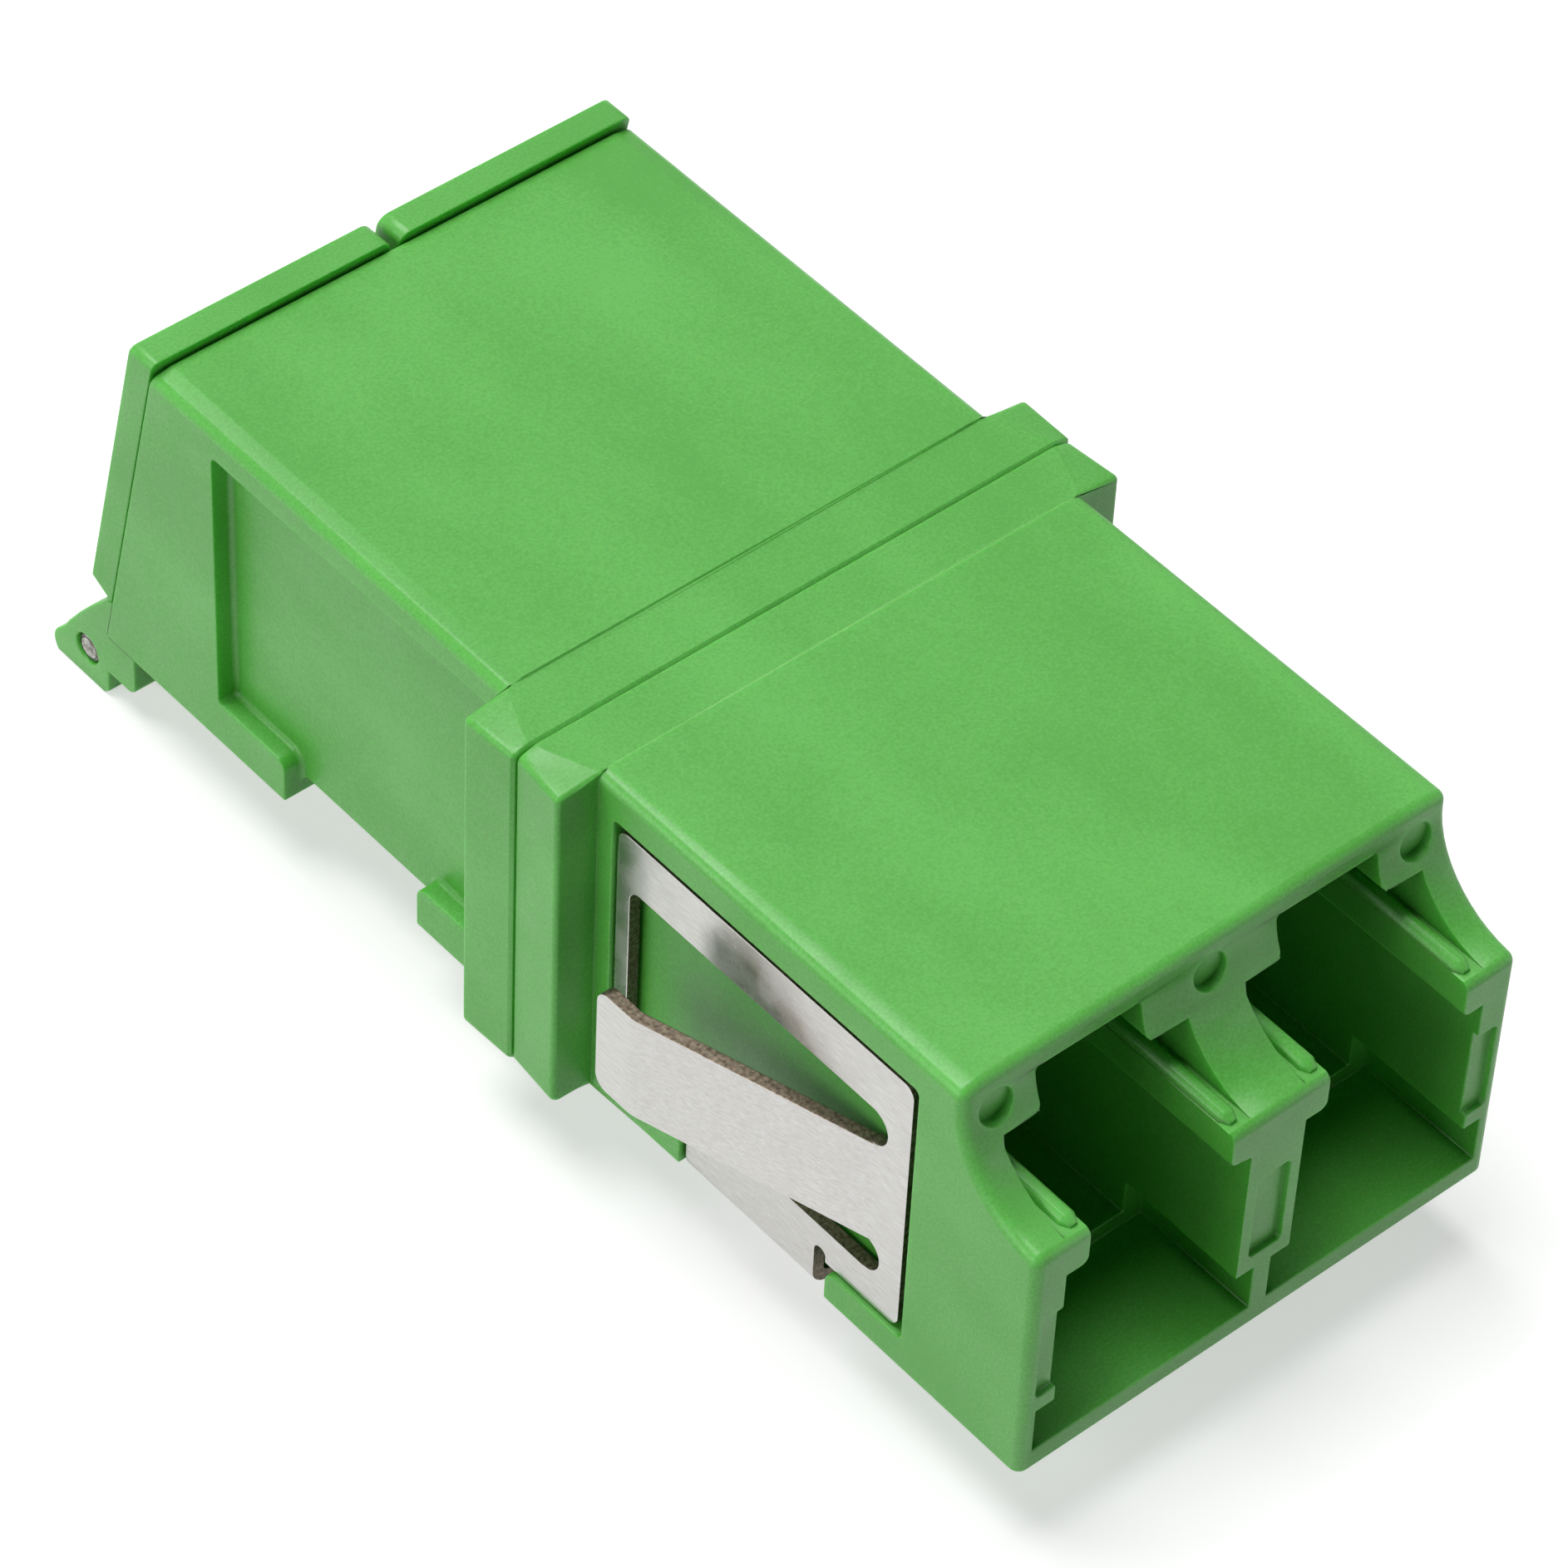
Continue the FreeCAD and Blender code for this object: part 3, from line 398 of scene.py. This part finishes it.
bpy.ops.object.shade_smooth_by_angle(angle=math.radians(SHARP_DEGREES))
stand_in(pin, "hinge_pin", "housing")
print("pin rims rounded:", rims, "edges, radius", round(PIN_RADIUS_MM, 3), "mm")

# %% [markdown]
# ## Shutter springs
# A torsion spring of round wire sits on the pin inside each shutter. One straight leg rests on
# the housing, the other turns with the shutter, and the coil between them winds up. The coil
# could be a curve with a thickness, but a spring is wound, so it is made the same way: the
# wire's round section is added on the pin's axis, a Screw modifier winds it, and its open ends
# are extruded along the legs.

# %% Spring sizes
PIN_AXIS_MM = (15.84, -4.23)
WIRE_RADIUS_MM = 0.1
WIRE_SIDES = 14
RING_REACH_MM = 1.05 * WIRE_RADIUS_MM
WIRE_SMOOTH_DEGREES = 50
COIL_RADIUS_MM = 0.57
COIL_START_MM = 2.075
COIL_LENGTH_MM = 1.2
COIL_TURNS = 4
STEPS_PER_TURN = 20
FIXED_TIP_MM = (14.35, -4.47)
MOVING_TIP_MM = (15.239, -1.086)


def leaving_angle(tip_mm, side):
    """Angle round the pin at which a straight leg to the tip leaves the coil."""
    across, upwards = (tip_mm[i] - PIN_AXIS_MM[i] for i in (0, 1))
    reach = math.hypot(across, upwards)
    return math.atan2(upwards, across) + side * math.acos(COIL_RADIUS_MM / reach)


def leg_run(angle, tip_mm):
    """Straight way from the coil's centre line to the leg's tip."""
    return Vector((
        0, tip_mm[0] - PIN_AXIS_MM[0] - COIL_RADIUS_MM * math.cos(angle),
        tip_mm[1] - PIN_AXIS_MM[1] - COIL_RADIUS_MM * math.sin(angle))) * MM


fixed_angle = leaving_angle(FIXED_TIP_MM, 1)
moving_angle = leaving_angle(MOVING_TIP_MM, -1)
sweep = 2 * math.pi * COIL_TURNS + (moving_angle - fixed_angle) % (2 * math.pi)
print("coil winds", round(math.degrees(sweep)), "degrees")

# %% Winding a spring


def wire_ring(name, x_mm, angle):
    """Round section of the wire at a place on the coil, in an object on the pin's axis."""
    bpy.ops.object.select_all(action="DESELECT")
    bpy.ops.mesh.primitive_circle_add(
        vertices=WIRE_SIDES, radius=WIRE_RADIUS_MM * MM, rotation=(angle, 0, 0),
        location=Vector((x_mm, *PIN_AXIS_MM)) * MM)
    piece = bpy.context.object
    piece.name = name
    bpy.ops.object.transform_apply(location=False, rotation=True, scale=False)
    bpy.ops.object.mode_set(mode="EDIT")
    bpy.ops.mesh.select_all(action="SELECT")
    radial = Vector((0, math.cos(angle), math.sin(angle)))
    bpy.ops.transform.translate(value=radial * COIL_RADIUS_MM * MM)
    bpy.ops.object.mode_set(mode="OBJECT")
    return piece


def finish_wire(piece):
    """Close the wire's ends, turn its faces outwards and put its place into its mesh."""
    bpy.ops.object.mode_set(mode="EDIT")
    bpy.ops.mesh.select_all(action="SELECT")
    bpy.ops.mesh.remove_doubles(threshold=MERGE_MM * MM)
    bpy.ops.mesh.fill_holes(sides=0)
    bpy.ops.mesh.normals_make_consistent(inside=False)
    bpy.ops.object.mode_set(mode="OBJECT")
    bpy.ops.object.transform_apply(location=True, rotation=True, scale=True)
    bpy.ops.object.shade_smooth_by_angle(angle=math.radians(WIRE_SMOOTH_DEGREES))


def pull_leg(piece, x_mm, run):
    """Extrude the open end at a place along the pin by a straight leg."""
    bpy.ops.object.mode_set(mode="EDIT")
    origin_x = piece.location.x
    pick(piece, "edges", lambda edge: len(edge.link_faces) < 2 and all(
        abs(v.co.x + origin_x - x_mm * MM) < RING_REACH_MM * MM for v in edge.verts))
    bpy.ops.mesh.extrude_edges_move(TRANSFORM_OT_translate={"value": run})
    bpy.ops.object.mode_set(mode="OBJECT")


# %% Coils and legs
springs = []
for hand, side in (("left", -1), ("right", 1)):
    start_x, end_x = side * COIL_START_MM, side * (COIL_START_MM + COIL_LENGTH_MM)
    spring = wire_ring("wound_spring_" + hand, start_x, fixed_angle)
    wind = spring.modifiers.new("wind", "SCREW")
    wind.axis = "X"
    wind.angle = sweep
    wind.screw_offset = side * COIL_LENGTH_MM * MM
    wind.steps = wind.render_steps = round(STEPS_PER_TURN * sweep / (2 * math.pi))
    bpy.ops.object.modifier_apply(modifier=wind.name)
    pull_leg(spring, start_x, leg_run(fixed_angle, FIXED_TIP_MM))
    pull_leg(spring, end_x, leg_run(moving_angle, MOVING_TIP_MM))
    finish_wire(spring)
    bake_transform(spring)
    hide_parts("shutter_spring_" + hand)
    springs.append(spring)
    low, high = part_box("shutter_spring_" + hand)
    wire = [v.co for v in spring.data.vertices]
    for axis, letter in enumerate("xyz"):
        places = [point[axis] for point in wire]
        print(hand, letter, "wire", round(min(places) / MM, 2), round(max(places) / MM, 2),
              "solid", round(low[axis] / MM, 2), round(high[axis] / MM, 2))

# %% [markdown]
# ## Ceramic sleeves
# A split sleeve of white zirconia sits in each pair of barrels and lines up the two ferrules.
# Only its end shows, deep in the open port. The solid's shape is right, so it only needs its
# rims rounded.

# %% Sleeves
SLEEVE_ROUND_MM = 0.03
sleeves = []
for hand in ("left", "right"):
    piece = merged_copy("alignment_sleeve_" + hand, "split_sleeve_" + hand)
    ease_edges(piece, SLEEVE_ROUND_MM)
    stand_in(piece, "alignment_sleeve_" + hand, "housing")
    sleeves.append(piece)

# %% [markdown]
# ## Material helpers
# The housing is a coloured engineering plastic, cooled against a polished steel mould. Such a
# surface has a soft broad shine, a very fine grain, and faint cloudy streaks where the melt
# flowed. A picture of plastic could be wrapped round it, but that would stretch at the corners,
# so the colour, the roughness and the grain all come from noise that is worked out from the
# place of each point on the piece.

# %% Empty material and noise


def new_material(name):
    """A material with its shader and the object's own coordinates."""
    material = bpy.data.materials.get(name) or bpy.data.materials.new(name)
    material.use_nodes = True
    nodes = material.node_tree.nodes
    shader = nodes["Principled BSDF"]
    place = nodes.new("ShaderNodeTexCoord")
    return material, nodes, material.node_tree.links, shader, place.outputs["Object"]


def noise(nodes, links, place, size_mm, detail=3.0, stretch=(1, 1, 1)):
    """Noise whose patches are about size_mm across, drawn out along an axis if asked."""
    mapping = nodes.new("ShaderNodeMapping")
    mapping.inputs["Scale"].default_value = stretch
    links.new(place, mapping.inputs["Vector"])
    texture = nodes.new("ShaderNodeTexNoise")
    texture.inputs["Scale"].default_value = 1 / (size_mm * MM)
    texture.inputs["Detail"].default_value = detail
    links.new(mapping.outputs["Vector"], texture.inputs["Vector"])
    return texture.outputs["Fac"]


# %% Speckle, range, tones and relief


def speckled(nodes, links, value, speckle, share):
    """A value with a share of a finer noise added, still the same on average."""
    node = nodes.new("ShaderNodeMath")
    node.operation = "MULTIPLY_ADD"
    links.new(speckle, node.inputs[0])
    node.inputs[1].default_value = share
    links.new(value, node.inputs[2])
    shifted = nodes.new("ShaderNodeMath")
    shifted.operation = "SUBTRACT"
    links.new(node.outputs[0], shifted.inputs[0])
    shifted.inputs[1].default_value = share / 2
    return shifted.outputs[0]


def spread(nodes, links, value, low, high, start=0.3, end=0.7):
    """The same value, drawn out so that start becomes low and end becomes high."""
    node = nodes.new("ShaderNodeMapRange")
    node.inputs["From Min"].default_value = start
    node.inputs["From Max"].default_value = end
    node.inputs["To Min"].default_value = low
    node.inputs["To Max"].default_value = high
    links.new(value, node.inputs["Value"])
    return node.outputs["Result"]


def two_tones(nodes, links, value, first, second):
    """A colour that goes from one tone to another with a value from 0 to 1."""
    mix = nodes.new("ShaderNodeMix")
    mix.data_type = "RGBA"
    links.new(value, mix.inputs["Factor"])
    mix.inputs["A"].default_value = (*first, 1)
    mix.inputs["B"].default_value = (*second, 1)
    return mix.outputs["Result"]


def bump(nodes, links, height, distance_mm, strength, after=None):
    """Small relief on top of the surface, and on top of another relief if one is given."""
    node = nodes.new("ShaderNodeBump")
    node.inputs["Distance"].default_value = distance_mm * MM
    node.inputs["Strength"].default_value = strength
    links.new(height, node.inputs["Height"])
    if after is not None:
        links.new(after, node.inputs["Normal"])
    return node.outputs["Normal"]


# %% [markdown]
# ## Green plastic
# The plastic is slightly see-through: light enters, spreads under the skin and comes out a
# little further on, which warms thin walls and corners. A plain surface colour would look like
# paint, so a little subsurface scattering is added below the noise. The tone has slow clouds
# from the flow of the melt and a fine speckle from the grain of the mould.

# %% Green plastic
GREEN_DEEP = (0.084, 0.405, 0.046)
GREEN_LIGHT = (0.124, 0.505, 0.082)
CLOUD_MM, PATCH_MM, WAVE_MM, GRAIN_MM = 3.5, 0.9, 1.6, 0.07
SPECKLE_SHARE = 0.9
SCATTER_MM = 0.45


def moulded_green(name):
    """Green engineering plastic with flow clouds, a soft shine and a fine moulded grain."""
    material, nodes, links, shader, place = new_material(name)
    clouds = noise(nodes, links, place, CLOUD_MM, detail=2.0, stretch=(1, 0.45, 1))
    grain = noise(nodes, links, place, GRAIN_MM, detail=3.0)
    tone = spread(nodes, links, speckled(nodes, links, clouds, grain, SPECKLE_SHARE), 0, 1)
    links.new(two_tones(nodes, links, tone, GREEN_DEEP, GREEN_LIGHT), shader.inputs["Base Color"])
    patches = noise(nodes, links, place, PATCH_MM, detail=4.0)
    links.new(spread(nodes, links, patches, low=0.34, high=0.44), shader.inputs["Roughness"])
    waves = noise(nodes, links, place, WAVE_MM, detail=1.0)
    soft = bump(nodes, links, waves, distance_mm=0.015, strength=0.3)
    fine = bump(nodes, links, grain, distance_mm=0.004, strength=0.45, after=soft)
    links.new(fine, shader.inputs["Normal"])
    shader.inputs["IOR"].default_value = 1.5
    shader.inputs["Subsurface Weight"].default_value = 0.7
    shader.inputs["Subsurface Radius"].default_value = (0.3, 1.0, 0.2)
    shader.inputs["Subsurface Scale"].default_value = SCATTER_MM * MM
    return material


housing_green = moulded_green("housing_green")
shutter_green = moulded_green("shutter_green")
print("plastic materials:", housing_green.name, shutter_green.name)

# %% [markdown]
# ## Steel
# Rolled sheet has very fine lines along the rolling direction and small cloudy differences in
# its shine, so what it reflects is blurred more one way than the other. Real brushed lines are
# far thinner than a pixel here, so they only show as a faint streak and a soft grain. The
# sheared edges are darker, warmer and rougher.

# %% Steel finishes
STEEL_LIGHT = (0.58, 0.57, 0.56)
STEEL_DARK = (0.49, 0.475, 0.455)
SHEARED_LIGHT = (0.24, 0.195, 0.15)
SHEARED_DARK = (0.07, 0.055, 0.04)
STEEL_CLOUD_MM = 0.8


def steel(name, tones, roughness, line_mm, stretch):
    """Steel with lines or grain of a given width, brighter on their crests, and a clouded shine."""
    material, nodes, links, shader, place = new_material(name)
    lines = noise(nodes, links, place, line_mm, detail=4.0, stretch=stretch)
    tone = spread(nodes, links, lines, 0, 1)
    links.new(two_tones(nodes, links, tone, *tones), shader.inputs["Base Color"])
    clouds = noise(nodes, links, place, STEEL_CLOUD_MM, detail=3.0)
    links.new(spread(nodes, links, clouds, *roughness), shader.inputs["Roughness"])
    fine = bump(nodes, links, lines, distance_mm=0.002, strength=0.2)
    links.new(fine, shader.inputs["Normal"])
    shader.inputs["Metallic"].default_value = 1.0
    return material


rolled = steel("rolled_steel", (STEEL_DARK, STEEL_LIGHT), (0.2, 0.34), 0.05, (1, 0.12, 1))
cut_edge = steel("sheared_steel", (SHEARED_DARK, SHEARED_LIGHT), (0.4, 0.6), 0.09, (1, 1, 1))
pin_steel = steel("pin_steel", (SHEARED_DARK, STEEL_DARK), (0.25, 0.4), 0.16, (0.1, 1, 1))
spring_steel = steel("spring_steel", (STEEL_DARK, STEEL_LIGHT), (0.2, 0.3), 0.06, (1, 1, 1))
print("steel materials:", rolled.name, cut_edge.name, pin_steel.name, spring_steel.name)

# %% [markdown]
# ## Ceramic
# Zirconia is polished to a near mirror and is a warm white. Faint clouds in its tone and shine
# keep it from looking like white paint.

# %% Ceramic
CERAMIC_WARM = (0.8, 0.79, 0.75)
CERAMIC_LIGHT = (0.86, 0.85, 0.82)
CERAMIC_CLOUD_MM = 0.6


def white_ceramic(name):
    """Polished zirconia: warm white, very smooth, slightly clouded."""
    material, nodes, links, shader, place = new_material(name)
    clouds = noise(nodes, links, place, CERAMIC_CLOUD_MM)
    tone = spread(nodes, links, clouds, 0, 1)
    white = two_tones(nodes, links, tone, CERAMIC_WARM, CERAMIC_LIGHT)
    links.new(white, shader.inputs["Base Color"])
    links.new(spread(nodes, links, clouds, low=0.12, high=0.2), shader.inputs["Roughness"])
    return material


sleeve_ceramic = white_ceramic("sleeve_ceramic")

# %% Giving each piece its finish
finishes = {
    front_half: housing_green, rear_half: housing_green, pin: pin_steel,
    shutters[0]: shutter_green, shutters[1]: shutter_green,
    sleeves[0]: sleeve_ceramic, sleeves[1]: sleeve_ceramic,
    **{wire: spring_steel for wire in springs},
}
for piece, material in finishes.items():
    piece.data.materials.clear()
    piece.data.materials.append(material)
print("finished pieces:", len(finishes) + 1)

# %% [markdown]
# ## Floor
# The part stands on a plain pale sheet. A white sheet would throw much light up into the ports
# and on the front, which are dark in the photograph. So the sheet itself is light grey, and it
# glows a little, but only where the camera or a shiny surface sees it. That makes it white in
# the picture without lighting the part, and it still takes the part's soft shadow.

# %% What the camera or a reflection sees


def seen_strength(nodes, links, plain, seen):
    """A strength that is plain for diffuse light and seen for the camera and reflections."""
    rays = nodes.new("ShaderNodeLightPath")
    best = rays.outputs["Is Camera Ray"]
    for kind in ("Is Glossy Ray", "Is Transmission Ray"):
        node = nodes.new("ShaderNodeMath")
        node.operation = "MAXIMUM"
        links.new(best, node.inputs[0])
        links.new(rays.outputs[kind], node.inputs[1])
        best = node.outputs[0]
    return spread(nodes, links, best, plain, seen, 0, 1)


# %% Floor
FLOOR_GLOW = 0.56
FLOOR_GREY = (0.6, 0.6, 0.6)
FLOOR_SIZE = 0.5
low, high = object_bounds()
bpy.ops.object.select_all(action="DESELECT")
bpy.ops.mesh.primitive_plane_add(size=FLOOR_SIZE, location=(0, 0, low[2]))
floor = bpy.context.object
floor.name = "studio_floor"
material, nodes, links, shader, _ = new_material("floor_white")
shader.inputs["Base Color"].default_value = (*FLOOR_GREY, 1)
shader.inputs["Roughness"].default_value = 0.9
shader.inputs["Specular IOR Level"].default_value = 0.1
shader.inputs["Emission Color"].default_value = (1, 1, 1, 1)
links.new(seen_strength(nodes, links, 0, FLOOR_GLOW), shader.inputs["Emission Strength"])
floor.data.materials.append(material)
print("floor at", round(low[2] / MM, 2), "mm")

# %% [markdown]
# ## Light
# The photograph is lit from above, from behind on the left and softly from the front on the
# right, while the corner where the camera stands is dark. A bright room would fill the ports
# and make them pale, so little light comes from all round and the lamps do the work. They are
# large and far away, so that the light is soft and the sheet is lit evenly. The backdrop is
# white up to well above the part and the ceiling is dark, which only reflections show.

# %% Surrounding light
AROUND = 0.01
CEILING = (0.15, 0.15, 0.15)
CEILING_RISE = (0.74, 0.88)
world = bpy.data.worlds.new("studio")
bpy.context.scene.world = world
world.use_nodes = True
nodes, links = world.node_tree.nodes, world.node_tree.links
background = nodes["Background"]
direction = nodes.new("ShaderNodeTexCoord")
height = nodes.new("ShaderNodeSeparateXYZ")
links.new(direction.outputs["Generated"], height.inputs["Vector"])
overhead = spread(nodes, links, height.outputs["Z"], 0, 1, *CEILING_RISE)
links.new(two_tones(nodes, links, overhead, (1, 1, 1), CEILING), background.inputs["Color"])
links.new(seen_strength(nodes, links, AROUND, 1), background.inputs["Strength"])

# %% Soft lamps


def softbox(name, place_mm, size_mm, watts):
    """Square lamp that faces the middle of the part."""
    light = bpy.data.lights.new(name, "AREA")
    light.shape = "SQUARE"
    light.size = size_mm * MM
    light.energy = watts
    lamp = bpy.data.objects.new(name, light)
    bpy.context.scene.collection.objects.link(lamp)
    lamp.location = Vector(place_mm) * MM
    lamp.rotation_euler = (-lamp.location).to_track_quat("-Z", "Y").to_euler()
    print(name, "at", place_mm, "mm,", watts, "W")
    return lamp


softbox("top_softbox", (-70, 360, 1170), 800, 15.5)
softbox("left_softbox", (-1080, 130, 400), 800, 5.4)
softbox("right_softbox", (880, -900, 190), 500, 1.15)

# %% [markdown]
# ## Camera
# The camera was worked out from the straight edges of the photograph. Its place is written as
# an azimuth, an elevation and a small roll round the line of sight, which can each be checked
# by eye.

# %% Camera
AZIMUTH = math.radians(-42.638)
ELEVATION = math.radians(46.102)
ROLL = math.radians(3.031)
DISTANCE_MM = 142.06
OFFSET_MM = (0.135, 0.84)
TARGET_MM = (0, 0, 1.55)
FOCAL_PIXELS = 8359.5
PHOTO_PIXELS = 1886

back = Vector((
    math.sin(AZIMUTH) * math.cos(ELEVATION),
    -math.cos(AZIMUTH) * math.cos(ELEVATION),
    math.sin(ELEVATION)))
level = Vector((math.cos(AZIMUTH), math.sin(AZIMUTH), 0))
upright = back.cross(level)
right = level * math.cos(ROLL) + upright * math.sin(ROLL)
up = upright * math.cos(ROLL) - level * math.sin(ROLL)
stand = Vector(TARGET_MM) + back * DISTANCE_MM - right * OFFSET_MM[0] - up * OFFSET_MM[1]
camera_data = bpy.data.cameras.new("camera")
camera_data.sensor_width = 36
camera_data.lens = FOCAL_PIXELS * camera_data.sensor_width / PHOTO_PIXELS
camera_data.clip_start = 10 * MM
camera_data.clip_end = 10
camera = bpy.data.objects.new("camera", camera_data)
bpy.context.scene.collection.objects.link(camera)
turn = Matrix((right, up, back)).transposed()
camera.matrix_world = Matrix.Translation(stand * MM) @ turn.to_4x4()
bpy.context.scene.camera = camera
bpy.context.scene.view_settings.view_transform = "Standard"
print("camera lens", round(camera_data.lens, 1), "mm")
